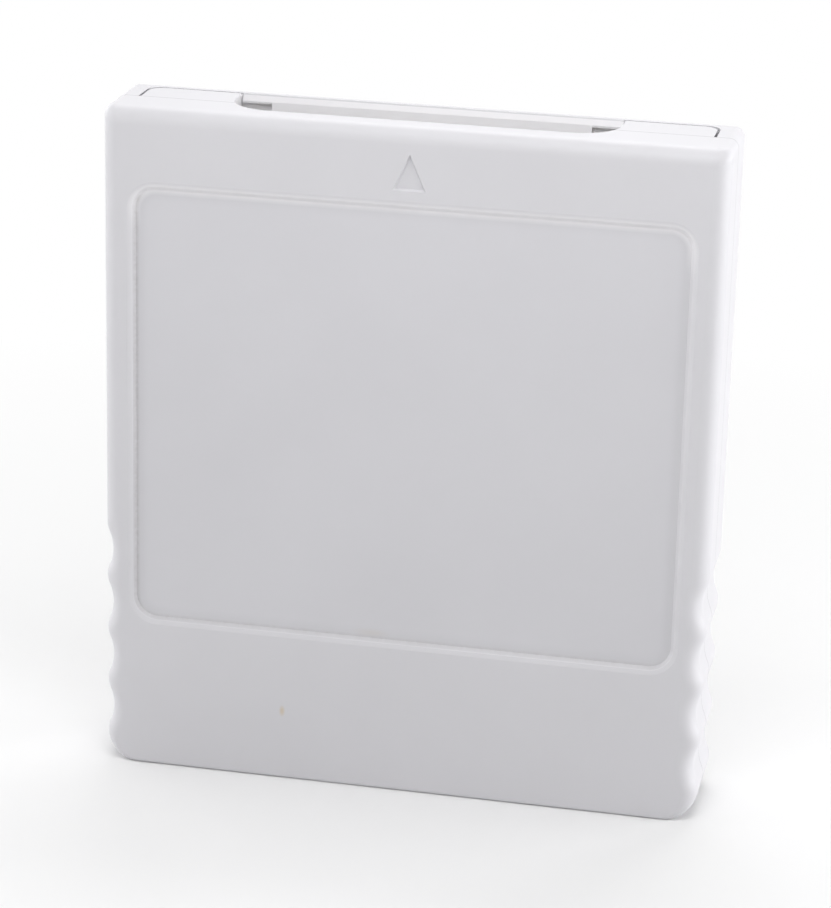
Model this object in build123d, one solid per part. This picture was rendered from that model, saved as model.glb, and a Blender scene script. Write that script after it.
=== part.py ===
from build123d import *
from OCP.BRepFilletAPI import BRepFilletAPI_MakeFillet
import os
from math import atan, atan2, cos, degrees, sin

# Console memory card: two moulded half shells round a small circuit board, closed by one screw.
# Millimetres. X to the right, Y from the front to the back, Z up. The origin is the centre of the
# bottom edge, where the card stands.

# Whole card
card_width = 43.0
card_height = 48.3
card_depth = 8.0
front_y = -card_depth / 2
back_y = card_depth / 2
front_edge_radius = 1.1
bottom_edge_radius = 0.3
back_chamfer = 0.6
top_corner_radius = 0.65
bottom_corner_width = 2.4
bottom_corner_height = 2.1
wall = 1.5
parting_y = -0.1

# Wavy grips low on both sides: valley arcs joined by ridge arcs
grip_valleys = 4
grip_pitch = 4.0
grip_depth = 0.42
valley_radius = 3.2

# Label panel and insertion arrow on the front
label_width = 39.4
label_bottom = 10.87
label_top = 43.25
label_bevel_depth = 0.1
label_bevel_width = 0.3
label_wall_depth = 0.25
label_wall_width = 0.25
label_top_radius = 1.9
label_bottom_radius = 2.1
arrow_tip = 46.55
arrow_base = 44.0
arrow_half_width = 1.15
arrow_depth = 0.2
arrow_wall = 0.12

# Inside faces of the shells
front_inner_y = -2.0
rear_inner_y = 3.0
inner_half_width = card_width / 2 - wall
inner_corner_radius = 1.0
fit_gap = 0.1

# Lip that laps the two shells along the sides and the bottom
lip_thickness = 0.5
lip_height = 0.8
lip_gap = 0.05

# End wall of the front shell, nested in the rear shell, with the connector mouth
end_wall = 2.0
end_wall_z = card_height - end_wall
nest_gap = 0.2
mouth_half_width = 13.4
mouth_front_y = -1.7
mouth_corner_radius = 3.0
mouth_chamfer = 0.08
hook_center_x = 16.3
hook_width = 3.5
hook_height = 0.8
hook_reach = 0.35

# Pocket behind the mouth
guide_wall = 1.0
pocket_bottom = 37.7

# Lead-in of the rear shell above the board's end: a bevelled rim across the mouth, with a ledge below it
ledge_half_width = 11.2
ledge_ramp_z = 46.8
rim_reach = 0.35
rim_bevel = 0.45
rim_height = 0.6

# Circuit board
board_thickness = 0.6
board_front_y = rear_inner_y - board_thickness
board_half_width = 18.8
board_bottom = 4.5
board_top = 46.0
board_corner_bevel = 0.8
board_notch_gap = 0.4
ledge_bottom = board_top + fit_gap

# Contact fingers
finger_count = 12
finger_pitch = 1.8
finger_width = 1.2
finger_bottom = 38.7
finger_top = 45.3
finger_thickness = 0.04
finger_corner_bevel = 0.3

# Case screw, from the back into a boss of the front shell
screw_z = 8.0
screw_flange_radius = 2.2
screw_flange_height = 0.5
screw_nub_radius = 1.9
screw_nub_height = 1.2
screw_nub_chamfer = 0.2
screw_notches = 6
screw_notch_width = 0.8
screw_notch_depth = 0.45
screw_core_radius = 0.95
screw_length = 4.2
screw_point = 0.8
seat_y = 1.9
seat_thickness = 0.9
recess_radius = 3.0
cup_wall = 1.0
boss_radius = 2.5
pilot_floor_y = -2.6
screw_hole_radius = 1.2

# Locating pins of the rear shell and square hold-down posts of the front shell
pin_x = 16.5
pin_z = 9.5
pin_radius = 0.8
pin_reach = 0.6
post_x = 16.5
post_z = 33.0
post_half = 1.0

# Memory chip in a small-outline package, with gull-wing leads above and below its body
chip_length = 18.1
chip_width = 8.6
chip_height = 2.35
chip_z = 24.0
chip_standoff = 0.1
chip_band = 0.3
chip_draft = 8
chip_dimple_radius = 0.6
chip_dimple_depth = 0.1
chip_dimple_inset = 1.8
leads_per_side = 14
lead_pitch = 1.27
lead_width = 0.42
lead_thickness = 0.2
lead_shoulder = 0.45
lead_run = 0.3
lead_foot = 0.85

# Small chip parts
capacitor_size = (2.0, 1.25, 0.9)
capacitor_cap = 0.4
capacitor_places = ((-13.5, 20.5), (-13.5, 27.5), (13.5, 20.5), (13.5, 27.5))
resistor_size = (0.8, 1.6, 0.45)
resistor_cap = 0.3
resistor_count = 5
resistor_pitch = 3.6
resistor_z = 33.6
cap_growth = 0.04


def card_plane(y):
    """Plane parallel to the card's front at depth y: sketch x is X and sketch y is Z."""
    return Plane(origin=(0, y, 0), x_dir=(1, 0, 0), z_dir=(0, -1, 0))


def slab(sketch, y_front, y_back, taper=0):
    """Solid of a front-view sketch between two depths, narrowing towards the front by taper degrees."""
    return extrude(card_plane(y_back) * sketch, amount=y_back - y_front, taper=taper)


def rectangle(x_half, z_low, z_high):
    """Front-view rectangle, centred across the card."""
    return Pos(0, (z_low + z_high) / 2) * Rectangle(2 * x_half, z_high - z_low)


def box(x_low, x_high, y_low, y_high, z_low, z_high):
    """Block between two corners."""
    size = (x_high - x_low, y_high - y_low, z_high - z_low)
    return Pos((x_low + x_high) / 2, (y_low + y_high) / 2, (z_low + z_high) / 2) * Box(*size)


def rod(x, z, radius, y_front, y_back):
    """Round solid along the depth of the card."""
    return slab(Pos(x, z) * Circle(radius), y_front, y_back)


def both_sides(solid):
    """A solid and its mirror image across the card's middle."""
    return solid + mirror(solid, about=Plane.YZ)


def grip_edges():
    """Right-hand edge of the grips, from the bottom corner up: equal waves that touch the side line."""
    side = card_width / 2
    half = grip_pitch / 2
    turn = 2 * atan(grip_depth / half)
    ridge_radius = half / sin(turn) - valley_radius
    rise = valley_radius * sin(turn)
    inset = grip_depth - valley_radius * (1 - cos(turn))
    half_mid_x = side - ridge_radius * (1 - cos(turn / 2))
    half_mid_z = ridge_radius * sin(turn / 2)
    start = bottom_corner_height
    valleys = [start + half + i * grip_pitch for i in range(grip_valleys)]
    end = valleys[-1] + half
    flank = side - inset
    edges = [ThreePointArc((side, start), (half_mid_x, start + half_mid_z), (flank, valleys[0] - rise))]
    for z in valleys:
        edges.append(ThreePointArc((flank, z - rise), (side - grip_depth, z), (flank, z + rise)))
        if z != valleys[-1]:
            next_z = z + grip_pitch
            edges.append(ThreePointArc((flank, z + rise), (side, z + half), (flank, next_z - rise)))
    edges.append(ThreePointArc((flank, valleys[-1] + rise), (half_mid_x, end - half_mid_z), (side, end)))
    return edges, end


def card_outline():
    """Front-view outline of the card with its rounded bottom corners and wavy grips."""
    side = card_width / 2
    corner = (side - bottom_corner_width, bottom_corner_height)
    grips, grip_end = grip_edges()
    right = [
        Line((0, 0), (corner[0], 0)),
        EllipticalCenterArc(corner, bottom_corner_width, bottom_corner_height, start_angle=270, arc_size=90),
        *grips,
        Line((side, grip_end), (side, card_height)),
        Line((side, card_height), (0, card_height)),
    ]
    left = [mirror(edge, about=Plane.YZ) for edge in right]
    return make_face(right + left)


def outer_front():
    """Outside of the front shell: face well rounded, but tight along the bottom, with sharper top corners."""
    solid = slab(card_outline(), front_y, parting_y).solid()
    face = solid.faces().filter_by(Axis.Y).sort_by(Axis.Y)[0]
    rounding = BRepFilletAPI_MakeFillet(solid.wrapped)
    for edge in solid.edges().filter_by(Axis.Y).group_by(Axis.Z)[-1]:
        rounding.Add(top_corner_radius, edge.wrapped)
    for edge in face.edges():
        rounding.Add(front_edge_radius, edge.wrapped)
    for chain in range(1, rounding.NbContours() + 1):
        for place in range(1, rounding.NbEdges(chain) + 1):
            edge = Edge(rounding.Edge(chain, place))
            start_z = edge.position_at(0).Z
            end_z = edge.position_at(1).Z
            if max(start_z, end_z) < bottom_edge_radius:
                rounding.SetRadius(bottom_edge_radius, chain, place)
            elif end_z < bottom_edge_radius:
                rounding.SetRadius(front_edge_radius, bottom_edge_radius, chain, place)
            elif start_z < bottom_edge_radius:
                rounding.SetRadius(bottom_edge_radius, front_edge_radius, chain, place)
    return Part(rounding.Shape())


def outer_rear():
    """Outside of the rear shell: rounded top corners and a plain chamfer round its back."""
    solid = slab(card_outline(), parting_y, back_y)
    solid = fillet(solid.edges().filter_by(Axis.Y).group_by(Axis.Z)[-1], top_corner_radius)
    back = solid.faces().filter_by(Axis.Y).sort_by(Axis.Y)[-1]
    return chamfer(back.edges(), back_chamfer)


def sunken(sketch, top_y, depth, wall_width):
    """Cutter for a shallow panel in the front, with a wall that slopes in from the sketch."""
    opening = Plane(origin=(0, top_y, 0), x_dir=(1, 0, 0), z_dir=(0, 1, 0))
    upright = mirror(sketch, about=Plane.XZ)
    return extrude(opening * upright, amount=depth, taper=degrees(atan2(wall_width, depth)))


def label_outline(inset):
    """Outline of the label panel, with larger corners at the bottom."""
    panel = rectangle(label_width / 2 - inset, label_bottom + inset, label_top - inset)
    corners = panel.vertices().sort_by(Axis.Y)
    panel = fillet(corners[:2], label_bottom_radius - inset)
    upper = panel.vertices().sort_by(Axis.Y)[-2:]
    return fillet(upper, label_top_radius - inset)


def cut_label(shell):
    """Shallow panel for the label: a bevelled rim, then a steeper wall down to its floor."""
    shell -= sunken(label_outline(0), front_y, label_bevel_depth, label_bevel_width)
    wall_y = front_y + label_bevel_depth
    return shell - sunken(label_outline(label_bevel_width), wall_y, label_wall_depth, label_wall_width)


def arrow_mark():
    """Triangle that points to the connector end."""
    left = (-arrow_half_width, arrow_base)
    right = (arrow_half_width, arrow_base)
    outline = Polyline(left, right, (0, arrow_tip), close=True)
    return sunken(make_face(outline), front_y, arrow_depth, arrow_wall)


def mouth_cut():
    """Connector mouth seen from above: straight lip, well rounded front corners, open to the rear shell."""
    back = rear_inner_y + 1
    plan = Pos(0, (mouth_front_y + back) / 2) * Rectangle(2 * mouth_half_width, back - mouth_front_y)
    plan = fillet(plan.vertices().sort_by(Axis.Y)[:2], mouth_corner_radius)
    return extrude(Pos(0, 0, end_wall_z - 1) * plan, amount=end_wall + 2)


def on_mouth(edge):
    """True for the edges round the mouth on the end wall's top."""
    place = edge.center()
    return abs(place.X) < mouth_half_width + fit_gap and place.Y > mouth_front_y - fit_gap


def nested_end_wall():
    """Rear part of the end wall, which lies between the rear shell's sides."""
    half = inner_half_width - nest_gap
    depth = rear_inner_y - nest_gap
    block = box(-half, half, front_inner_y, depth, end_wall_z, card_height)
    upright = block.edges().filter_by(Axis.Z).sort_by(Axis.Y)[-2:]
    return fillet(upright, inner_corner_radius)


def hook(gap):
    """Hook on the back of the end wall, or with a gap the pocket that takes it."""
    x = hook_width / 2 + gap
    z = end_wall_z + end_wall / 2
    depth = rear_inner_y - fit_gap
    tab = box(hook_center_x - x, hook_center_x + x, depth - 1, rear_inner_y + hook_reach + gap / 2,
              z - hook_height / 2 - gap, z + hook_height / 2 + gap)
    return both_sides(tab)


def lip(thickness, height):
    """Lip that runs down one side, along the bottom and up the other."""
    outer = rectangle(inner_half_width + thickness, wall - thickness, end_wall_z - fit_gap)
    inner = rectangle(inner_half_width, wall, card_height)
    return slab(outer - inner, parting_y, parting_y + height)


def front_shell():
    """Front half: face, label panel, arrow, grips, end wall with the mouth, pocket walls, boss and posts."""
    shell = outer_front()
    shell -= slab(rectangle(inner_half_width, wall, end_wall_z), front_inner_y, parting_y + 1)
    shell = cut_label(shell)
    shell -= arrow_mark()
    shell += nested_end_wall()
    shell -= mouth_cut()
    top = shell.faces().filter_by(Axis.Z).sort_by(Axis.Z)[-1]
    shell = chamfer(top.edges().filter_by(on_mouth), mouth_chamfer)
    shell += hook(0)
    shell += lip(lip_thickness, lip_height)
    guides_outer = rectangle(mouth_half_width + guide_wall, pocket_bottom - guide_wall, end_wall_z)
    guides_inner = rectangle(mouth_half_width, pocket_bottom, end_wall_z)
    shell += slab(guides_outer - guides_inner, front_inner_y, board_front_y - fit_gap)
    shell += rod(0, screw_z, boss_radius, front_inner_y, seat_y - seat_thickness)
    shell -= rod(0, screw_z, screw_core_radius, pilot_floor_y, back_y)
    post = Pos(post_x, post_z) * Rectangle(2 * post_half, 2 * post_half)
    shell += both_sides(slab(post, front_inner_y, board_front_y))
    return shell


def rear_shell():
    """Rear half: back, grips, rim behind the mouth, lead-in ledge, screw cup and locating pins."""
    shell = outer_rear()
    inside = slab(rectangle(inner_half_width, wall, card_height + 1), parting_y - 1, rear_inner_y)
    deep = inside.faces().filter_by(Axis.Y).sort_by(Axis.Y)[-1]
    floor_edges = deep.edges().sort_by(Axis.Z)[:-1]
    shell -= fillet(floor_edges, inner_corner_radius)
    shell -= lip(lip_thickness + lip_gap, lip_height + lip_gap)
    shell -= hook(fit_gap)
    shell += lead_in_rim()
    shell += lead_in_ledge()
    cup_radius = recess_radius + cup_wall
    shell += rod(0, screw_z, cup_radius, seat_y - seat_thickness, rear_inner_y)
    shell -= rod(0, screw_z, recess_radius, seat_y, back_y + 1)
    shell -= rod(0, screw_z, screw_hole_radius, seat_y - seat_thickness - 1, seat_y)
    shell += both_sides(rod(pin_x, pin_z, pin_radius, board_front_y - pin_reach, rear_inner_y))
    return shell


def lead_in(half_width, *points):
    """Block across the mouth, drawn in side view, whose bevel at the card's end leads the plug in."""
    foot = (rear_inner_y - rim_reach, card_height - rim_bevel)
    profile = Polyline(*points, foot, (rear_inner_y, card_height), close=True)
    return extrude(Plane.YZ * make_face(profile), amount=half_width, both=True)


def lead_in_rim():
    """Bevelled rim across the whole mouth."""
    low = card_height - rim_height
    return lead_in(mouth_half_width - fit_gap, (rear_inner_y, low), (rear_inner_y - rim_reach, low))


def lead_in_ledge():
    """Ledge below the rim, with a steep ramp down to the board's contact side."""
    low = (board_front_y, ledge_bottom)
    return lead_in(ledge_half_width, (rear_inner_y, ledge_bottom), low, (board_front_y, ledge_ramp_z))


def circuit_board():
    """Board with a notch round the screw cup and two holes for the locating pins."""
    outline = rectangle(board_half_width, board_bottom, board_top)
    outline = chamfer(outline.vertices(), board_corner_bevel)
    notch = recess_radius + cup_wall + board_notch_gap
    cut = rectangle(notch, board_bottom - notch, screw_z + notch)
    outline -= chamfer(cut.vertices().sort_by(Axis.Y)[-2:], notch / 2)
    outline -= Pos(pin_x, pin_z) * Circle(pin_radius + fit_gap)
    outline -= Pos(-pin_x, pin_z) * Circle(pin_radius + fit_gap)
    return slab(outline, board_front_y, rear_inner_y)


def contact_finger(index):
    """One gold pad on the front of the board, bevelled where the plug first meets it."""
    x = (index - (finger_count - 1) / 2) * finger_pitch
    pad = rectangle(finger_width / 2, finger_bottom, finger_top)
    pad = chamfer(pad.vertices().sort_by(Axis.Y)[-2:], finger_corner_bevel)
    return slab(Pos(x, 0) * pad, board_front_y - finger_thickness, board_front_y)


def memory_chip():
    """Moulded chip body: drafted above and below a straight band, with a dimple at its first lead."""
    foot_y = board_front_y - chip_standoff
    top_y = foot_y - chip_height
    half_height = (chip_height - chip_band) / 2
    band = Pos(0, chip_z) * Rectangle(chip_length, chip_width)
    upper = slab(band, top_y, top_y + half_height, taper=chip_draft)
    middle = slab(band, top_y + half_height, foot_y - half_height)
    lower = mirror(upper, about=card_plane((top_y + foot_y) / 2))
    dimple_x = chip_dimple_inset - chip_length / 2
    dimple_z = chip_z + chip_dimple_inset - chip_width / 2
    dimple = rod(dimple_x, dimple_z, chip_dimple_radius, top_y, top_y + chip_dimple_depth)
    return upper + middle + lower - dimple


def memory_chip_leads():
    """Two rows of gull-wing leads: out of the body's band, down, and flat on the board."""
    middle = chip_standoff + chip_height / 2
    start = chip_width / 2
    knee = start + lead_shoulder
    heel = knee + lead_run
    toe = heel + lead_foot
    half = lead_thickness / 2
    profile = Polyline(
        (start, middle + half),
        (knee, middle + half),
        (heel, lead_thickness),
        (toe, lead_thickness),
        (toe, 0),
        (heel - half, 0),
        (knee - half, middle - half),
        (start, middle - half),
        close=True,
    )
    side_plane = Plane(origin=(0, board_front_y, chip_z), x_dir=(0, 0, 1), z_dir=(1, 0, 0))
    lead = extrude(side_plane * make_face(profile), amount=lead_width / 2, both=True)
    leads = []
    for i in range(leads_per_side):
        x = (i - (leads_per_side - 1) / 2) * lead_pitch
        upper = Pos(x, 0, 0) * lead
        leads.append(upper)
        leads.append(mirror(upper, about=Plane(origin=(0, 0, chip_z), z_dir=(0, 0, 1))))
    return Compound(children=[single for lead_part in leads for single in lead_part.solids()])


def chip_part(x, z, size, cap):
    """Small chip part on the board: a body between two slightly thicker plated ends."""
    width, height, thick = size
    body = Pos(x, z) * Rectangle(width - 2 * cap_growth, height - 2 * cap_growth)
    solid = slab(body, board_front_y - thick + cap_growth, board_front_y)
    across = width > height
    for side in (-1, 1):
        shift = side * ((width if across else height) - cap) / 2
        end_x = x + (shift if across else 0)
        end_z = z + (0 if across else shift)
        end = Rectangle(cap, height) if across else Rectangle(width, cap)
        solid += slab(Pos(end_x, end_z) * end, board_front_y - thick, board_front_y)
    return solid


def case_screw():
    """Screw on the Y axis: plain core, pointed end, flange and a notched nub for a socket driver."""
    tip = seat_y - screw_length
    nub_y = seat_y + screw_flange_height
    outline = Polyline(
        (0, tip),
        (screw_core_radius / 2, tip),
        (screw_core_radius, tip + screw_point),
        (screw_core_radius, seat_y),
        (screw_flange_radius, seat_y),
        (screw_flange_radius, nub_y),
        (screw_nub_radius, nub_y),
        (screw_nub_radius, nub_y + screw_nub_height - screw_nub_chamfer),
        (screw_nub_radius - screw_nub_chamfer, nub_y + screw_nub_height),
        (0, nub_y + screw_nub_height),
        close=True,
    )
    solid = revolve(make_face(outline), axis=Axis.Y)
    notch_x = screw_nub_radius - screw_notch_depth
    notch = box(notch_x, screw_nub_radius + 1, nub_y, nub_y + screw_nub_height + 1,
                -screw_notch_width / 2, screw_notch_width / 2)
    for i in range(screw_notches):
        solid -= notch.rotate(Axis.Y, i * 360 / screw_notches)
    return Pos(0, 0, screw_z) * solid


def write_part(name, shape):
    """Save one piece under its node's name."""
    export_step(shape, f"parts/{name}.step")


os.makedirs("parts", exist_ok=True)
write_part("front_shell", front_shell())
write_part("rear_shell", rear_shell())
write_part("circuit_board", circuit_board())
for number in range(finger_count):
    write_part(f"contact_finger_{number + 1}", contact_finger(number))
write_part("memory_chip", memory_chip())
write_part("memory_chip_leads", memory_chip_leads())
for number, (place_x, place_z) in enumerate(capacitor_places):
    write_part(f"capacitor_{number + 1}", chip_part(place_x, place_z, capacitor_size, capacitor_cap))
for number in range(resistor_count):
    place_x = (number - (resistor_count - 1) / 2) * resistor_pitch
    write_part(f"resistor_{number + 1}", chip_part(place_x, resistor_z, resistor_size, resistor_cap))
write_part("case_screw", case_screw())
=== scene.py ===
import bpy
import math
from mathutils import Matrix, Vector


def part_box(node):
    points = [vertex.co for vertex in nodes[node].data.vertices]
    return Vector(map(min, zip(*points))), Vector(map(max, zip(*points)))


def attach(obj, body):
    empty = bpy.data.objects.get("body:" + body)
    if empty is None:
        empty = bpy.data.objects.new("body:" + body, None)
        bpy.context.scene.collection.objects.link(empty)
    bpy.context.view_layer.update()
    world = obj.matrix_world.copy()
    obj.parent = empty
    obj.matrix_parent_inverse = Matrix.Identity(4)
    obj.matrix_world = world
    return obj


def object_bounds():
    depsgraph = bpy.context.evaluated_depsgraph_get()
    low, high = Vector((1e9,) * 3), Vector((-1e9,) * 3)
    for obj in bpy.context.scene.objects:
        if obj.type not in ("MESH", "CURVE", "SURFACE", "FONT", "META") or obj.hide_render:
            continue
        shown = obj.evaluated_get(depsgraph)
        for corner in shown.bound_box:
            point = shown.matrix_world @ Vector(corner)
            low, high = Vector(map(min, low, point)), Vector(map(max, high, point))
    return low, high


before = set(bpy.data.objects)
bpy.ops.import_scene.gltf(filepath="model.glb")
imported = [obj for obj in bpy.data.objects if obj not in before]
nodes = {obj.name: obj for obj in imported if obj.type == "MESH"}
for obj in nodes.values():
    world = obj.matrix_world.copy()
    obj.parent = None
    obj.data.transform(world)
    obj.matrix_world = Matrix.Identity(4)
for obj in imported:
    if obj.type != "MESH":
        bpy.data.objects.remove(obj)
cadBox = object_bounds()
mm = 0.001  # the card is drawn up in millimetres, Blender works in metres
quarterTurn = math.pi / 2
print("frame loaded,", len(nodes), "nodes")


# small helpers for node trees

def putNode(tree, kind, inputs=None, **settings):
    node = tree.nodes.new(kind)
    for name, value in settings.items():
        setattr(node, name, value)
    for name, value in (inputs or {}).items():
        if isinstance(value, bpy.types.NodeSocket):
            tree.links.new(value, node.inputs[name])
        else:
            node.inputs[name].default_value = value
    return node


def mathNode(tree, operation, a, b=0.0):
    return putNode(tree, "ShaderNodeMath", {0: a, 1: b}, operation=operation).outputs[0]


def product(tree, first, *others):
    for factor in others:
        first = mathNode(tree, "MULTIPLY", first, factor)
    return first


def ramp(tree, value, low, high, outLow=0.0, outHigh=1.0):
    ends = {"Value": value, "From Min": low, "From Max": high, "To Min": outLow, "To Max": outHigh}
    return putNode(tree, "ShaderNodeMapRange", ends, clamp=True).outputs["Result"]


def choose(tree, mask, whereNot, where):
    # one value where a mask is 0, another where it is 1
    return ramp(tree, mask, 0.0, 1.0, whereNot, where)


def mixColour(tree, amount, first, second, blend="MIX"):
    # sockets 6 and 7 of a mix node, and its output 2, are those for colours
    ends = {0: amount, 6: first, 7: second}
    return putNode(tree, "ShaderNodeMix", ends, data_type="RGBA", blend_type=blend).outputs[2]


def rgba(colour):
    return (*colour, 1.0)


def newGroup(name, inputs, outputs):
    tree = bpy.data.node_groups.new(name, "ShaderNodeTree")
    for label, kind, value in inputs:
        socket = tree.interface.new_socket(label, in_out="INPUT", socket_type=kind)
        socket.default_value = value
    for label, kind in outputs:
        tree.interface.new_socket(label, in_out="OUTPUT", socket_type=kind)
    return tree, tree.nodes.new("NodeGroupInput"), tree.nodes.new("NodeGroupOutput")


def useGroup(tree, group, inputs):
    return putNode(tree, "ShaderNodeGroup", inputs, node_tree=group)


def distance(tree, a, b):
    both = putNode(tree, "ShaderNodeCombineXYZ", {0: a, 1: b}).outputs[0]
    return putNode(tree, "ShaderNodeVectorMath", {0: both}, operation="LENGTH").outputs["Value"]


def objectPlace(tree):
    return putNode(tree, "ShaderNodeTexCoord").outputs["Object"]


def objectAxes(tree):
    return putNode(tree, "ShaderNodeSeparateXYZ", {"Vector": objectPlace(tree)}).outputs


def onSides(tree):
    # 1 on faces that look sideways, 0 on those that look to the front or the back
    halfTurned = 0.5
    normal = putNode(tree, "ShaderNodeNewGeometry").outputs["Normal"]
    forward = putNode(tree, "ShaderNodeSeparateXYZ", {"Vector": normal}).outputs[1]
    return mathNode(tree, "LESS_THAN", mathNode(tree, "ABSOLUTE", forward), halfTurned)


def between(tree, value, low, high):
    return product(tree, mathNode(tree, "GREATER_THAN", value, low), mathNode(tree, "LESS_THAN", value, high))


def nearer(tree, value, reach):
    return mathNode(tree, "LESS_THAN", mathNode(tree, "ABSOLUTE", value), reach)


def shaded(tree, colour, tone):
    grey = putNode(tree, "ShaderNodeCombineXYZ", {0: tone, 1: tone, 2: tone}).outputs[0]
    return mixColour(tree, 1.0, colour, grey, "MULTIPLY")


def newMaterial(name, roughness, metallic=0.0):
    material = bpy.data.materials.new(name)
    material.use_nodes = True
    shader = material.node_tree.nodes["Principled BSDF"]
    shader.inputs["Roughness"].default_value = roughness
    shader.inputs["Metallic"].default_value = metallic
    return material, material.node_tree, shader


def addBump(tree, shader, height, strength, depth):
    bump = putNode(tree, "ShaderNodeBump", {"Height": height, "Strength": strength, "Distance": depth})
    tree.links.new(bump.outputs[0], shader.inputs["Normal"])


# effects that several finishes share

noiseLow, noiseHigh = 0.3, 0.7  # most values of a noise texture lie between these

scuffLook = {
    "directions": (0.35, -0.8),
    "stretch": (60.0, 1.0, 1.0),
    "threshold": 0.78,
    "thresholdDrop": 0.3,
    "full": 0.9,
}


def makeMouldGrain():
    # spark-eroded mould texture: a fine even grain and a slow drift of tone
    tree, given, out = newGroup(
        "mouldGrain",
        [("Grain Size", "NodeSocketFloat", 0.12 * mm), ("Drift Size", "NodeSocketFloat", 9 * mm)],
        [("Height", "NodeSocketFloat"), ("Drift", "NodeSocketFloat")],
    )
    place = objectPlace(tree)
    grainScale = mathNode(tree, "DIVIDE", 1.0, given.outputs["Grain Size"])
    driftScale = mathNode(tree, "DIVIDE", 1.0, given.outputs["Drift Size"])
    grain = putNode(tree, "ShaderNodeTexNoise", {"Vector": place, "Scale": grainScale, "Detail": 2.0})
    drift = putNode(tree, "ShaderNodeTexNoise", {"Vector": place, "Scale": driftScale, "Detail": 3.0})
    tree.links.new(grain.outputs[0], out.inputs["Height"])
    tree.links.new(drift.outputs[0], out.inputs["Drift"])
    return tree


def makeScuffs(look):
    # short hairline scratches, from noise drawn out along two directions
    tree, given, out = newGroup(
        "scuffs",
        [("Length", "NodeSocketFloat", 3 * mm), ("Amount", "NodeSocketFloat", 0.2)],
        [("Mask", "NodeSocketFloat")],
    )
    place = objectPlace(tree)
    lengthScale = mathNode(tree, "DIVIDE", 1.0, given.outputs["Length"])
    drop = product(tree, given.outputs["Amount"], look["thresholdDrop"])
    threshold = mathNode(tree, "SUBTRACT", look["threshold"], drop)
    masks = []
    for turn in look["directions"]:
        turned = putNode(tree, "ShaderNodeVectorRotate", {"Vector": place, "Angle": turn},
                         rotation_type="Y_AXIS").outputs[0]
        drawnOut = putNode(tree, "ShaderNodeMapping", {"Vector": turned, "Scale": look["stretch"]}).outputs[0]
        lines = putNode(tree, "ShaderNodeTexNoise", {"Vector": drawnOut, "Scale": lengthScale}).outputs[0]
        masks.append(ramp(tree, lines, threshold, look["full"]))
    tree.links.new(mathNode(tree, "MAXIMUM", *masks), out.inputs["Mask"])
    return tree


mouldGrain = makeMouldGrain()
scuffs = makeScuffs(scuffLook)


def grainOf(tree, grainSize, driftSize):
    return useGroup(tree, mouldGrain, {"Grain Size": grainSize, "Drift Size": driftSize}).outputs


def driftTone(tree, grain, spread):
    # slow change of tone, by a given share to either side
    return ramp(tree, grain["Drift"], noiseLow, noiseHigh, 1 - spread, 1 + spread)


def scuffMask(tree, length, amount):
    return useGroup(tree, scuffs, {"Length": length, "Amount": amount}).outputs["Mask"]


print("shared effects ready")


# grey shell plastic: smoother label panel with painted shade and grime in the crease round it, painted light
# on its rim and in the mouth, a painted lift in the sunk arrow, and two small stains

shellLook = {
    "grey": (0.617, 0.611, 0.637),
    "panelGrey": (0.604, 0.599, 0.627),
    "grimeColour": (0.21, 0.19, 0.17),
    "stainColour": (0.56, 0.43, 0.25),
    "roughness": 0.48,
    "panelRoughness": 0.42,
    "grainSize": 0.11 * mm,
    "grainDepth": 0.006 * mm,
    "grainStrength": 0.35,
    "driftSize": 11 * mm,
    "driftSpread": 0.015,
    "scuffLength": 2.5 * mm,
    "scuffAmount": 0.12,
    "scuffRoughness": 0.12,
    "skin": 0.03 * mm,
    "panelHalfWidth": 19.15 * mm,
    "panelBottom": 11.42 * mm,
    "panelTop": 42.7 * mm,
    "panelCorner": 1.45 * mm,
    "panelFloor": -3.65 * mm,
    "panelWallTop": -3.85 * mm,
    "panelWallReach": 0.3 * mm,
    "panelRimTop": -3.995 * mm,
    "creaseReach": 0.95 * mm,
    "creaseFall": 1.6,
    "creaseShade": 0.075,
    "grimeCore": 0.06 * mm,
    "grimeReach": 0.24 * mm,
    "grimeLeft": 0.17,
    "grimeLeftFade": (-18.9 * mm, -18.3 * mm),
    "grimeBelow": 0.10,
    "grimeBelowFade": (11.7 * mm, 12.3 * mm),
    "grimePatches": (0.6, 1.4),
    "speckSize": 0.3 * mm,
    "arrowTop": -3.985 * mm,
    "arrowFloor": -3.7 * mm,
    "arrowHalfWidth": 1.5 * mm,
    "arrowBottom": 43.7 * mm,
    "arrowTip": 46.8 * mm,
    "arrowPaintedLift": 1.02,
    # painted light on the panel's rim and in the mouth: a lighter grey and how much of it
    "paintedLightGrey": (0.80, 0.79, 0.81),
    "paintedLightAmount": 0.7,
    "rimLightLow": 0.1,
    "rimLightInnerFade": (0.1 * mm, 0.4 * mm),
    "rimLightOuterFade": (-0.6 * mm, -0.3 * mm),
    "rimLightUpwardFade": (39.7 * mm, 42.4 * mm),
    "leadInLight": 0.85,
    "leadInHalfWidth": 13.45 * mm,
    "leadInFront": -1.75 * mm,
    "leadInBack": 3.03 * mm,
    "leadInBottom": 46.05 * mm,
    "leadInTop": 48.2 * mm,
    "seamPlace": -0.1 * mm,
    "seamHalf": 0.035 * mm,
    "seamShade": 0.55,
    "stainFade": (0.3, 1.2),
    "stains": (  # x, z, half width, half height, strength
        (-8.34 * mm, 5.24 * mm, 0.2 * mm, 0.4 * mm, 0.55),
        (-2.0 * mm, 11.8 * mm, 1.2 * mm, 0.3 * mm, 0.10),
    ),
}


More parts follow.
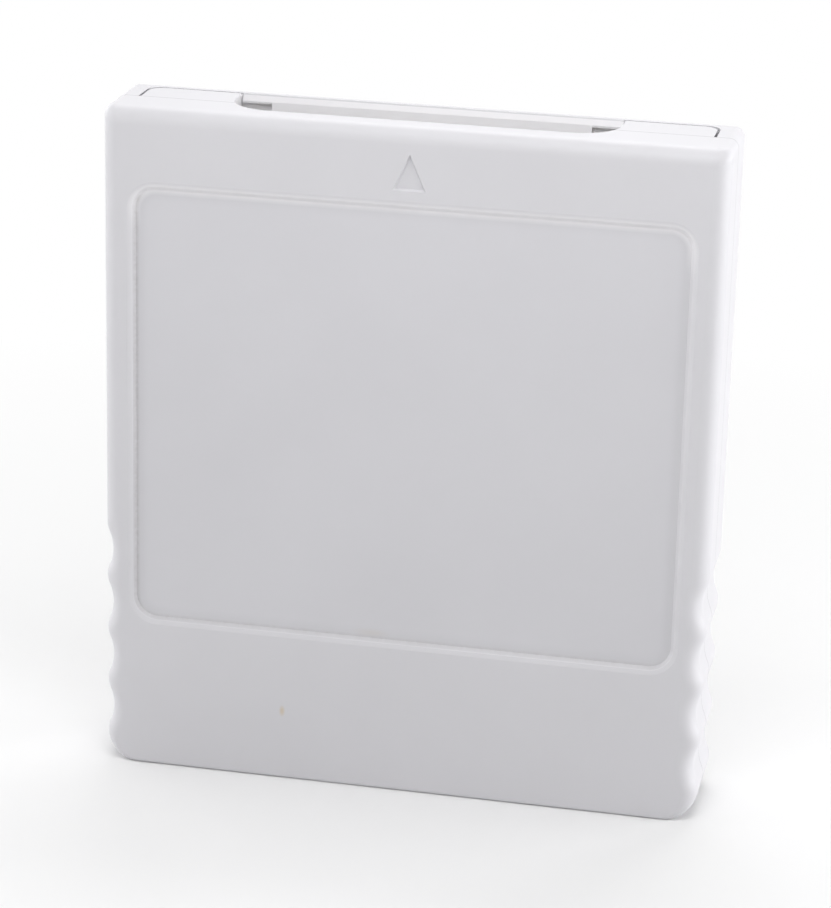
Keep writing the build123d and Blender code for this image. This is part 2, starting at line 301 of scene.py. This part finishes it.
def panelInset(tree, axes, look):
    # how far a point lies inside the panel's rounded outline
    middle = (look["panelTop"] + look["panelBottom"]) / 2
    straightX = look["panelHalfWidth"] - look["panelCorner"]
    straightZ = (look["panelTop"] - look["panelBottom"]) / 2 - look["panelCorner"]
    beyondX = mathNode(tree, "SUBTRACT", mathNode(tree, "ABSOLUTE", axes[0]), straightX)
    fromMiddle = mathNode(tree, "ABSOLUTE", mathNode(tree, "SUBTRACT", axes[2], middle))
    beyondZ = mathNode(tree, "SUBTRACT", fromMiddle, straightZ)
    cornerX = mathNode(tree, "MAXIMUM", beyondX, 0.0)
    cornerZ = mathNode(tree, "MAXIMUM", beyondZ, 0.0)
    flat = mathNode(tree, "MINIMUM", mathNode(tree, "MAXIMUM", beyondX, beyondZ), 0.0)
    outside = mathNode(tree, "ADD", distance(tree, cornerX, cornerZ), flat)
    return mathNode(tree, "SUBTRACT", look["panelCorner"], outside)


def paintedRimLight(tree, axes, inset, look):
    # painted light on the panel's rim, strongest towards the connector end
    rim = between(tree, axes[1], look["panelRimTop"], look["panelFloor"] + look["skin"])
    inner = ramp(tree, inset, *look["rimLightInnerFade"], 1.0, 0.0)
    outer = ramp(tree, inset, *look["rimLightOuterFade"])
    upward = ramp(tree, axes[2], *look["rimLightUpwardFade"], look["rimLightLow"], 1.0)
    return product(tree, rim, inner, outer, upward, look["paintedLightAmount"])


def paintedMouthLight(tree, axes, look):
    # painted light on the walls of the mouth
    across = nearer(tree, axes[0], look["leadInHalfWidth"])
    high = between(tree, axes[2], look["leadInBottom"], look["leadInTop"])
    inMouth = between(tree, axes[1], look["leadInFront"], look["leadInBack"])
    return product(tree, across, high, inMouth, look["leadInLight"])


def creaseGrime(tree, axes, inset, nearPanel, look):
    # patchy grime that sits in the crease on the left and below
    onLeft = ramp(tree, axes[0], *look["grimeLeftFade"], look["grimeLeft"], 0.0)
    below = ramp(tree, axes[2], *look["grimeBelowFade"], look["grimeBelow"], 0.0)
    speckled = {"Vector": objectPlace(tree), "Scale": 1 / look["speckSize"], "Detail": 2.0}
    specks = putNode(tree, "ShaderNodeTexNoise", speckled).outputs[0]
    patchy = ramp(tree, specks, noiseLow, noiseHigh, *look["grimePatches"])
    line = ramp(tree, mathNode(tree, "ABSOLUTE", inset), look["grimeCore"], look["grimeReach"], 1.0, 0.0)
    return product(tree, mathNode(tree, "MAXIMUM", onLeft, below), patchy, line, nearPanel)


def arrowMask(tree, axes, look):
    # the sunk arrow; its colour is lifted a little, painted light against the shade in the recess
    sunk = between(tree, axes[1], look["arrowTop"], look["arrowFloor"])
    upward = between(tree, axes[2], look["arrowBottom"], look["arrowTip"])
    return product(tree, sunk, upward, nearer(tree, axes[0], look["arrowHalfWidth"]))


def seamMask(tree, axes, look):
    # the parting line of the two shells, on the outside only
    first = look["seamPlace"] - look["seamHalf"]
    last = look["seamPlace"] + look["seamHalf"]
    return product(tree, between(tree, axes[1], first, last), onSides(tree))


def stainMask(tree, axes, stain, look):
    x, z, halfWidth, halfHeight, strength = stain
    across = mathNode(tree, "DIVIDE", mathNode(tree, "SUBTRACT", axes[0], x), halfWidth)
    upward = mathNode(tree, "DIVIDE", mathNode(tree, "SUBTRACT", axes[2], z), halfHeight)
    onFront = mathNode(tree, "LESS_THAN", axes[1], look["panelFloor"] + look["skin"])
    spot = ramp(tree, distance(tree, across, upward), *look["stainFade"], strength, 0.0)
    return product(tree, spot, onFront)


def makeShellPlastic(look):
    material, tree, shader = newMaterial("shellPlastic", look["roughness"])
    axes = objectAxes(tree)
    grain = grainOf(tree, look["grainSize"], look["driftSize"])
    marks = scuffMask(tree, look["scuffLength"], look["scuffAmount"])

    inset = panelInset(tree, axes, look)
    onFloor = between(tree, axes[1], look["panelFloor"] - look["skin"], look["panelFloor"] + look["skin"])
    panel = product(tree, onFloor, mathNode(tree, "GREATER_THAN", inset, 0.0))
    lowWall = between(tree, axes[1], look["panelWallTop"], look["panelFloor"] + look["skin"])
    nearPanel = product(tree, lowWall, mathNode(tree, "GREATER_THAN", inset, -look["panelWallReach"]))
    # painted shade: the panel floor darkens towards its rim, as if shaded in the crease
    fall = mathNode(tree, "POWER", ramp(tree, inset, 0.0, look["creaseReach"], 1.0, 0.0), look["creaseFall"])
    crease = product(tree, fall, nearPanel, look["creaseShade"])

    # tone multiplies the random drift with painted shade in the crease, the arrow's painted lift and the dark
    # seam
    tone = product(
        tree,
        driftTone(tree, grain, look["driftSpread"]),
        mathNode(tree, "SUBTRACT", 1.0, crease),
        choose(tree, arrowMask(tree, axes, look), 1.0, look["arrowPaintedLift"]),
        choose(tree, seamMask(tree, axes, look), 1.0, look["seamShade"]),
    )
    colour = shaded(tree, mixColour(tree, panel, rgba(look["grey"]), rgba(look["panelGrey"])), tone)
    # painted light: the rim and the walls of the mouth are mixed towards a lighter grey
    paintedLightAmount = mathNode(tree, "MAXIMUM", paintedRimLight(tree, axes, inset, look), paintedMouthLight(tree, axes, look))
    colour = mixColour(tree, paintedLightAmount, colour, rgba(look["paintedLightGrey"]))
    grime = creaseGrime(tree, axes, inset, nearPanel, look)
    colour = mixColour(tree, grime, colour, rgba(look["grimeColour"]))
    for stain in look["stains"]:
        colour = mixColour(tree, stainMask(tree, axes, stain, look), colour, rgba(look["stainColour"]))
    tree.links.new(colour, shader.inputs["Base Color"])

    dulling = product(tree, marks, look["scuffRoughness"])
    rough = mathNode(tree, "ADD", choose(tree, panel, look["roughness"], look["panelRoughness"]), dulling)
    tree.links.new(rough, shader.inputs["Roughness"])
    addBump(tree, shader, grain["Height"], look["grainStrength"], look["grainDepth"])
    return material


shellPlastic = makeShellPlastic(shellLook)
for name in ("front_shell", "rear_shell"):
    nodes[name].material_slots[0].material = shellPlastic
print("shells finished")


# finishes of the board and what it carries

boardLook = {
    "mask": (0.018, 0.115, 0.05),
    "maskShade": (0.012, 0.085, 0.036),
    "laminate": (0.30, 0.29, 0.13),
    "roughness": 0.34,
    "sawnRoughness": 0.8,
    "grain": 0.2 * mm,
    "drift": 5 * mm,
    "spread": 0.1,
    "weavePitch": 0.55 * mm,
    "weaveStrength": 0.15,
    "weaveDepth": 0.008 * mm,
    "coveredCopper": (0.05, 0.21, 0.085),
    "copperGrain": 0.08 * mm,
    "copperDrift": 2 * mm,
    "copperSpread": 0.12,
}


def makeBoardMask(look):
    material, tree, shader = newMaterial("boardMask", look["roughness"])
    axes = objectAxes(tree)
    turns = math.pi * 2 / look["weavePitch"]
    warp = mathNode(tree, "SINE", product(tree, axes[0], turns))
    weft = mathNode(tree, "SINE", product(tree, axes[2], turns))
    weave = product(tree, warp, weft)
    colour = mixColour(tree, ramp(tree, weave, -1.0, 1.0), rgba(look["mask"]), rgba(look["maskShade"]))
    tone = driftTone(tree, grainOf(tree, look["grain"], look["drift"]), look["spread"])
    sawnEdge = onSides(tree)
    colour = mixColour(tree, sawnEdge, shaded(tree, colour, tone), rgba(look["laminate"]))
    tree.links.new(colour, shader.inputs["Base Color"])
    rough = choose(tree, sawnEdge, look["roughness"], look["sawnRoughness"])
    tree.links.new(rough, shader.inputs["Roughness"])
    addBump(tree, shader, weave, look["weaveStrength"], look["weaveDepth"])
    return material


def makeCoveredCopper(look):
    material, tree, shader = newMaterial("coveredCopper", look["roughness"])
    tone = driftTone(tree, grainOf(tree, look["copperGrain"], look["copperDrift"]), look["copperSpread"])
    tree.links.new(shaded(tree, rgba(look["coveredCopper"]), tone), shader.inputs["Base Color"])
    return material


metalLook = {
    "goldPlating": {"colour": (0.83, 0.64, 0.27), "dull": (0.76, 0.57, 0.23), "roughness": 0.26,
                    "wipe": 1.2 * mm},
    "tinLead": {"colour": (0.66, 0.66, 0.64), "dull": (0.46, 0.46, 0.46), "roughness": 0.34,
                "wipe": 0.5 * mm},
    "screwSteel": {"colour": (0.44, 0.44, 0.45), "dull": (0.30, 0.29, 0.28), "roughness": 0.30,
                   "wipe": 0.8 * mm},
}

platingLook = {
    "grain": 0.05 * mm,
    "drift": 1.5 * mm,
    "strength": 0.1,
    "depth": 0.002 * mm,
    "dulledFade": (0.42, 0.68),
    "dulledRoughness": 0.15,
    "wipeAmount": 0.5,
    "wipeRoughness": 0.2,
}


def makeMetal(name, look, plating):
    # plated metal: patches that have dulled, and fine wipe marks that roughen it
    material, tree, shader = newMaterial(name, look["roughness"], 1.0)
    grain = grainOf(tree, plating["grain"], plating["drift"])
    marks = scuffMask(tree, look["wipe"], plating["wipeAmount"])
    dulled = ramp(tree, grain["Drift"], *plating["dulledFade"])
    colour = mixColour(tree, dulled, rgba(look["colour"]), rgba(look["dull"]))
    tree.links.new(colour, shader.inputs["Base Color"])
    dullest = look["roughness"] + plating["dulledRoughness"]
    wiped = product(tree, marks, plating["wipeRoughness"])
    rough = mathNode(tree, "ADD", choose(tree, dulled, look["roughness"], dullest), wiped)
    tree.links.new(rough, shader.inputs["Roughness"])
    addBump(tree, shader, grain["Height"], plating["strength"], plating["depth"])
    return material


mouldedLook = {
    "chipEpoxy": {"colour": (0.030, 0.030, 0.033), "spread": 0.2, "roughness": 0.62, "grain": 0.07 * mm},
    "capacitorCeramic": {"colour": (0.46, 0.34, 0.22), "spread": 0.14, "roughness": 0.5, "grain": 0.05 * mm,
                         "axis": 0, "middle": 13.5 * mm, "bare": 0.6 * mm},
    "resistorCeramic": {"colour": (0.05, 0.05, 0.055), "spread": 0.1, "roughness": 0.3, "grain": 0.06 * mm,
                        "axis": 2, "middle": 33.6 * mm, "bare": 0.5 * mm},
}

bodyGrain = {"drift": 1.2 * mm, "strength": 0.3, "depth": 0.004 * mm}


def makeMoulded(name, look, body, tin):
    # moulded or fired body, with tinned ends where it has them
    material, tree, shader = newMaterial(name, look["roughness"])
    grain = grainOf(tree, look["grain"], body["drift"])
    colour = shaded(tree, rgba(look["colour"]), driftTone(tree, grain, look["spread"]))
    if "axis" in look:
        outward = mathNode(tree, "ABSOLUTE", objectAxes(tree)[look["axis"]])
        along = mathNode(tree, "ABSOLUTE", mathNode(tree, "SUBTRACT", outward, look["middle"]))
        tinned = mathNode(tree, "GREATER_THAN", along, look["bare"])
        colour = mixColour(tree, tinned, colour, rgba(tin["colour"]))
        tree.links.new(tinned, shader.inputs["Metallic"])
        rough = choose(tree, tinned, look["roughness"], tin["roughness"])
        tree.links.new(rough, shader.inputs["Roughness"])
    tree.links.new(colour, shader.inputs["Base Color"])
    addBump(tree, shader, grain["Height"], body["strength"], body["depth"])
    return material


finishes = {"boardMask": makeBoardMask(boardLook), "coveredCopper": makeCoveredCopper(boardLook)}
for name, look in metalLook.items():
    finishes[name] = makeMetal(name, look, platingLook)
for name, look in mouldedLook.items():
    finishes[name] = makeMoulded(name, look, bodyGrain, metalLook["tinLead"])

finishOf = {"circuit_board": "boardMask", "contact_finger": "goldPlating", "memory_chip": "chipEpoxy",
            "memory_chip_leads": "tinLead", "capacitor": "capacitorCeramic", "resistor": "resistorCeramic",
            "case_screw": "screwSteel"}
for name, node in nodes.items():
    kind = name.rstrip("0123456789").rstrip("_")
    if kind in finishOf:
        node.material_slots[0].material = finishes[finishOf[kind]]
print("inner pieces finished")


# small detail grown by Geometry Nodes: copper traces, plated holes, solder and the screw's thread

fineness = {"holeSides": 16, "moundSegments": 12, "moundRings": 8, "threadSteps": 32, "threadSides": 4}
standUp = (quarterTurn, 0, 0)  # brings what is drawn flat up against the board's face
layBack = (-quarterTurn, 0, 0)  # lays the thread along the screw


def newTree(name, inputs):
    tree = bpy.data.node_groups.new(name, "GeometryNodeTree")
    tree.interface.new_socket("Geometry", in_out="INPUT", socket_type="NodeSocketGeometry")
    sockets = {}
    for label, kind in inputs:
        sockets[label] = tree.interface.new_socket(label, in_out="INPUT", socket_type=kind).identifier
    tree.interface.new_socket("Geometry", in_out="OUTPUT", socket_type="NodeSocketGeometry")
    return tree, tree.nodes.new("NodeGroupInput").outputs, sockets


def closeTree(tree, geometry, material):
    real = putNode(tree, "GeometryNodeRealizeInstances", {"Geometry": geometry}).outputs[0]
    finished = putNode(tree, "GeometryNodeSetMaterial", {"Geometry": real, "Material": material}).outputs[0]
    tree.links.new(finished, tree.nodes.new("NodeGroupOutput").inputs["Geometry"])


def grow(name, grown, values, points, edges):
    # runs a tree on a few points and keeps what comes out as a plain mesh
    tree, sockets = grown
    base = bpy.data.meshes.new(name)
    base.from_pydata(points, edges, [])
    piece = bpy.data.objects.new(name, base)
    bpy.context.scene.collection.objects.link(piece)
    modifier = piece.modifiers.new(name, "NODES")
    modifier.node_group = tree
    for label, value in values.items():
        modifier[sockets[label]] = value
    bpy.context.view_layer.update()
    evaluated = piece.evaluated_get(bpy.context.evaluated_depsgraph_get())
    mesh = bpy.data.meshes.new_from_object(evaluated)
    piece.modifiers.remove(modifier)
    piece.data = mesh
    bpy.data.meshes.remove(base)
    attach(piece, "root")


def makeTraceTree(material):
    # flat copper along a route drawn on the board, in x and height
    inputs = [("Width", "NodeSocketFloat"), ("Height", "NodeSocketFloat"), ("Board Face", "NodeSocketVector")]
    tree, given, sockets = newTree("boardTraces", inputs)
    route = putNode(tree, "GeometryNodeMeshToCurve", {"Mesh": given["Geometry"]}).outputs[0]
    route = putNode(tree, "GeometryNodeSetCurveNormal", {"Curve": route}, mode="Z_UP").outputs[0]
    strip = putNode(tree, "GeometryNodeCurvePrimitiveQuadrilateral",
                    {"Width": given["Width"], "Height": given["Height"]}).outputs[0]
    copper = putNode(tree, "GeometryNodeCurveToMesh",
                     {"Curve": route, "Profile Curve": strip, "Fill Caps": True}).outputs[0]
    stood = putNode(tree, "GeometryNodeTransform",
                    {"Geometry": copper, "Rotation": standUp, "Translation": given["Board Face"]}).outputs[0]
    closeTree(tree, stood, material)
    return tree, sockets


def makeHoleTree(material):
    # plated rings where a trace goes through the board
    inputs = [("Radius", "NodeSocketFloat"), ("Rim", "NodeSocketFloat"), ("Height", "NodeSocketFloat")]
    tree, given, sockets = newTree("platedHoles", inputs)
    circle = putNode(tree, "GeometryNodeCurvePrimitiveCircle",
                     {"Resolution": fineness["holeSides"], "Radius": given["Radius"]}).outputs[0]
    section = putNode(tree, "GeometryNodeCurvePrimitiveQuadrilateral",
                      {"Width": given["Rim"], "Height": given["Height"]}).outputs[0]
    ring = putNode(tree, "GeometryNodeCurveToMesh", {"Curve": circle, "Profile Curve": section}).outputs[0]
    rings = putNode(tree, "GeometryNodeInstanceOnPoints",
                    {"Points": given["Geometry"], "Instance": ring, "Rotation": standUp}).outputs[0]
    closeTree(tree, rings, material)
    return tree, sockets


def makeSolderTree(material):
    # a low mound of solder at each joint
    tree, given, sockets = newTree("solderJoints", [("Size", "NodeSocketVector")])
    ball = {"Segments": fineness["moundSegments"], "Rings": fineness["moundRings"], "Radius": 1.0}
    drop = putNode(tree, "GeometryNodeMeshUVSphere", ball).outputs[0]
    smooth = putNode(tree, "GeometryNodeSetShadeSmooth", {"Geometry": drop}).outputs[0]
    mounds = putNode(tree, "GeometryNodeInstanceOnPoints",
                     {"Points": given["Geometry"], "Instance": smooth, "Scale": given["Size"]}).outputs[0]
    closeTree(tree, mounds, material)
    return tree, sockets


def makeThreadTree(material):
    # one helix round the screw's core, with a sharp crest
    inputs = [(label, "NodeSocketFloat") for label in ("Turns", "Length", "Core", "Crest")]
    tree, given, sockets = newTree("screwThread", inputs + [("Start", "NodeSocketVector")])
    winding = {"Resolution": fineness["threadSteps"], "Rotations": given["Turns"], "Height": given["Length"],
               "Start Radius": given["Core"], "End Radius": given["Core"]}
    helix = putNode(tree, "GeometryNodeCurveSpiral", winding).outputs[0]
    helix = putNode(tree, "GeometryNodeSetCurveNormal", {"Curve": helix}, mode="Z_UP").outputs[0]
    crest = putNode(tree, "GeometryNodeCurvePrimitiveCircle",
                    {"Resolution": fineness["threadSides"], "Radius": given["Crest"]}).outputs[0]
    thread = putNode(tree, "GeometryNodeCurveToMesh",
                     {"Curve": helix, "Profile Curve": crest, "Fill Caps": True}).outputs[0]
    turned = putNode(tree, "GeometryNodeTransform",
                     {"Geometry": thread, "Rotation": layBack, "Translation": given["Start"]}).outputs[0]
    closeTree(tree, turned, material)
    return tree, sockets


detailLook = {
    "traceWidth": 0.3 * mm,
    "traceHeight": 0.03 * mm,
    "traceDrop": 1.2 * mm,
    "leadsPerSide": 14,
    "leadWidth": 0.42 * mm,
    "stubShort": 1.3 * mm,
    "stubStep": 0.9 * mm,
    "stubRows": 3,
    "holeRadius": 0.3 * mm,
    "holeRim": 0.2 * mm,
    "holeHeight": 0.045 * mm,
    "solderSize": (0.3 * mm, 0.14 * mm, 0.28 * mm),
    "threadTurns": 3.0,
    "threadCore": 0.95 * mm,
    "threadCrest": 0.2 * mm,
    "threadFrom": -1.5 * mm,
    "threadLength": 2.3 * mm,
}


def leadPlaces(look):
    low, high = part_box("memory_chip_leads")
    first = low.x + look["leadWidth"] / 2
    pitch = (high.x - low.x - look["leadWidth"]) / (look["leadsPerSide"] - 1)
    return [first + pitch * i for i in range(look["leadsPerSide"])], low.z, high.z


def traceRoutes(look):
    # fingers to the chip's upper leads with one slanting step, and short stubs below it
    places, lowest, highest = leadPlaces(look)
    fingers = [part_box(name) for name in sorted(nodes) if name.startswith("contact_finger")]
    fingers.sort(key=lambda box: box[0].x)
    spare = (len(places) - len(fingers)) // 2
    routes = []
    for (low, high), leadX in zip(fingers, places[spare:]):
        x = (low.x + high.x) / 2
        knee = low.z - look["traceDrop"]
        step = (leadX, knee - abs(leadX - x))
        routes.append([(x, low.z + look["traceWidth"]), (x, knee), step, (leadX, highest)])
    stubs = []
    for i, x in enumerate(places):
        stubs.append((x, lowest - look["stubShort"] - look["stubStep"] * (i % look["stubRows"])))
        routes.append([(x, lowest), stubs[-1]])
    return routes, stubs


def solderPlaces(look, face):
    places, lowest, highest = leadPlaces(look)
    joints = [(x, face, z) for x in places for z in (lowest, highest)]
    for name in nodes:
        low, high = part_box(name)
        if name.startswith("capacitor"):
            joints += [(x, face, (low.z + high.z) / 2) for x in (low.x, high.x)]
        if name.startswith("resistor"):
            joints += [((low.x + high.x) / 2, face, z) for z in (low.z, high.z)]
    return joints


def makeBoardDetail(look):
    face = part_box("circuit_board")[0].y
    routes, stubs = traceRoutes(look)
    points, edges = [], []
    for route in routes:
        edges += [(len(points) + i, len(points) + i + 1) for i in range(len(route) - 1)]
        points += [(x, z, 0.0) for x, z in route]
    sizes = {"Width": look["traceWidth"], "Height": look["traceHeight"], "Board Face": (0.0, face, 0.0)}
    grow("board_traces", makeTraceTree(finishes["coveredCopper"]), sizes, points, edges)
    rings = {"Radius": look["holeRadius"], "Rim": look["holeRim"], "Height": look["holeHeight"]}
    holes = [(x, face, z) for x, z in stubs]
    grow("plated_holes", makeHoleTree(finishes["tinLead"]), rings, holes, [])
    mounds = {"Size": look["solderSize"]}
    joints = solderPlaces(look, face)
    grow("solder_joints", makeSolderTree(finishes["tinLead"]), mounds, joints, [])


def makeScrewThread(look):
    low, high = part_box("case_screw")
    start = ((low.x + high.x) / 2, look["threadFrom"], (low.z + high.z) / 2)
    sizes = {"Turns": look["threadTurns"], "Length": look["threadLength"], "Core": look["threadCore"],
             "Crest": look["threadCrest"], "Start": start}
    grow("screw_thread", makeThreadTree(finishes["screwSteel"]), sizes, [(0, 0, 0)], [])


makeBoardDetail(detailLook)
makeScrewThread(detailLook)
print("board and screw detail grown")


# floor, lamps and camera

stageLook = {
    "floorColour": (0.855, 0.855, 0.855),
    "floorSize": 3.0,
    "floorRoughness": 0.9,
    "whiteFrom": 45 * mm,
    "whiteTo": 110 * mm,
    "worldStrength": 0.04,
    "lamps": {
        "keyLamp": {"place": (0.015, -0.065, 0.125), "size": (0.09, 0.09), "watts": 0.092},
        "leftPanel": {"place": (-0.3, 0.06, 0.13), "size": (0.5, 0.34), "watts": 1.156},
        "rightPanel": {"place": (0.25, 0.03, 0.07), "size": (0.3, 0.12), "watts": 0.628},
        "backPanel": {"place": (0.0, 0.161, 0.254), "size": (0.2, 0.2), "watts": 0.39},
        "lowLeft": {"place": (-0.225, -0.13, 0.043), "size": (0.1, 0.07), "watts": 0.093},
        "lowFront": {"place": (0.0, -0.259, 0.043), "size": (0.1, 0.07), "watts": 0.036},
    },
}


def seenDirectly(tree):
    rays = putNode(tree, "ShaderNodeLightPath").outputs
    mirrored = mathNode(tree, "MAXIMUM", rays["Is Glossy Ray"], rays["Is Transmission Ray"])
    return mathNode(tree, "MAXIMUM", rays["Is Camera Ray"], mirrored)


def makeFloor(look):
    half = look["floorSize"] / 2
    mesh = bpy.data.meshes.new("floor")
    corners = [(-half, -half, 0), (half, -half, 0), (half, half, 0), (-half, half, 0)]
    mesh.from_pydata(corners, [], [(0, 1, 2, 3)])
    floor = bpy.data.objects.new("floor", mesh)
    bpy.context.scene.collection.objects.link(floor)
    material, tree, shader = newMaterial("floorPaper", look["floorRoughness"])
    shader.inputs["Base Color"].default_value = rgba(look["floorColour"])
    shader.inputs["Specular IOR Level"].default_value = 0.0
    axes = objectAxes(tree)
    far = ramp(tree, distance(tree, axes[0], axes[1]), look["whiteFrom"], look["whiteTo"])
    white = putNode(tree, "ShaderNodeEmission", {"Strength": 1.0}).outputs[0]
    seen = product(tree, seenDirectly(tree), far)
    paper = putNode(tree, "ShaderNodeMixShader", {0: seen, 1: shader.outputs[0], 2: white}).outputs[0]
    tree.links.new(paper, tree.nodes["Material Output"].inputs["Surface"])
    mesh.materials.append(material)


def makeWorld(look):
    world = bpy.data.worlds.new("studio")
    world.use_nodes = True
    bpy.context.scene.world = world
    tree = world.node_tree
    sky = tree.nodes["Background"]
    strength = choose(tree, seenDirectly(tree), look["worldStrength"], 1.0)
    tree.links.new(strength, sky.inputs["Strength"])
    sky.inputs["Color"].default_value = (1.0, 1.0, 1.0, 1.0)


def makeLamps(look, aim):
    for name, lamp in look["lamps"].items():
        light = bpy.data.lights.new(name, "AREA")
        light.shape = "RECTANGLE"
        light.size, light.size_y = lamp["size"]
        light.energy = lamp["watts"]
        holder = bpy.data.objects.new(name, light)
        holder.location = lamp["place"]
        holder.rotation_euler = (aim - Vector(lamp["place"])).to_track_quat("-Z", "Y").to_euler()
        holder.visible_camera = False
        bpy.context.scene.collection.objects.link(holder)


cameraLook = {
    "azimuth": 11.51,
    "elevation": 18.97,
    "roll": 1.46,
    "distance": 230.3 * mm,
    "target": (0.08 * mm, 0.0, 24.09 * mm),
    "lens": 130.3,
    "sensor": 36.0,
    "clipStart": 10 * mm,
}


def makeCamera(look):
    around = math.radians(look["azimuth"])
    above = math.radians(look["elevation"])
    level = math.cos(above)
    back = Vector((math.sin(around) * level, -math.cos(around) * level, math.sin(above)))
    right = (-back).cross(Vector((0, 0, 1))).normalized()
    up = right.cross(-back)
    turn = math.radians(look["roll"])
    tiltedRight = right * math.cos(turn) + up * math.sin(turn)
    tiltedUp = up * math.cos(turn) - right * math.sin(turn)
    data = bpy.data.cameras.new("photoCamera")
    data.lens = look["lens"]
    data.sensor_width = look["sensor"]
    data.clip_start = look["clipStart"]
    camera = bpy.data.objects.new("photoCamera", data)
    bpy.context.scene.collection.objects.link(camera)
    place = Matrix((tiltedRight, tiltedUp, back)).transposed().to_4x4()
    place.translation = Vector(look["target"]) + back * look["distance"]
    camera.matrix_world = place
    bpy.context.scene.camera = camera


makeFloor(stageLook)
makeWorld(stageLook)
makeLamps(stageLook, (cadBox[0] + cadBox[1]) / 2)
makeCamera(cameraLook)
bpy.context.scene.view_settings.view_transform = "Standard"
print("stage, lamps and camera ready")
